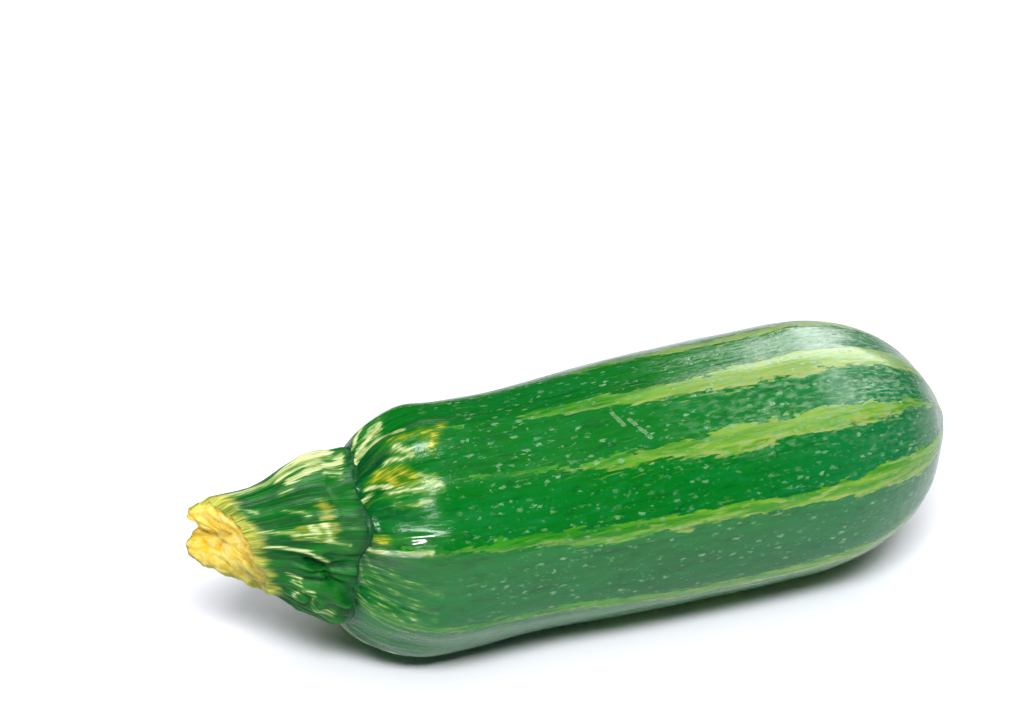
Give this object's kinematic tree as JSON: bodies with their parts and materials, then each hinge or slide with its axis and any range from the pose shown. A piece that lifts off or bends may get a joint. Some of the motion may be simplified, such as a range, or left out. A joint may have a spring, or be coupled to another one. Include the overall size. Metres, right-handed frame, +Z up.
{
  "type": "zucchini",
  "caption": "Short, thick striped zucchini as picked: a ridged green fruit with light flecked stripes, a blossom scar and the torn stub of its ribbed stem.",
  "frame": {"origin": "centre of the bounding box in X and Y, on the surface that the fruit rests on", "axes": "+X along the fruit from the stem to the blossom end, +Z up, -Y the side that the picture shows"},
  "size_m": [0.1768, 0.0586, 0.0578],
  "materials": {
    "fruit_skin": "waxy satin skin, dark green with light green lengthwise stripes and pale flecks",
    "stem_skin": "satin ribbed stem, green at its foot and yellow at the torn end"
  },
  "bodies": {
    "root": {"fruit": "fruit_skin", "stem": "stem_skin"}
  },
  "joints": []
}
